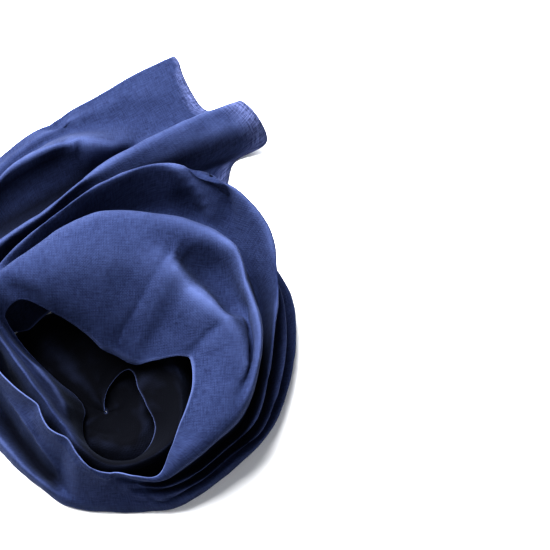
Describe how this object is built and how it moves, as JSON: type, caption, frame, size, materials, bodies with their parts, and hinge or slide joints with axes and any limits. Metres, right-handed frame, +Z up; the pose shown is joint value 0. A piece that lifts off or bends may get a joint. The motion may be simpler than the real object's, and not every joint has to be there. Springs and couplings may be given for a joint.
{
  "type": "tenugui towel",
  "caption": "Thin cotton hand towel laid loosely round itself as a nest with soft folds, a rolled fold towards its cut end and a flap that spreads over the table.",
  "frame": {"origin": "middle of the bottom of the bounding box, on the surface that the towel lies on", "axes": "+Y from the hollow of the nest towards the cut end, +X to the right as seen from the rounded front, +Z up"},
  "size_m": [0.2316, 0.3152, 0.0709],
  "materials": {
    "cotton": "plain woven, matt"
  },
  "bodies": {
    "root": {"towel": "cotton"}
  },
  "joints": []
}
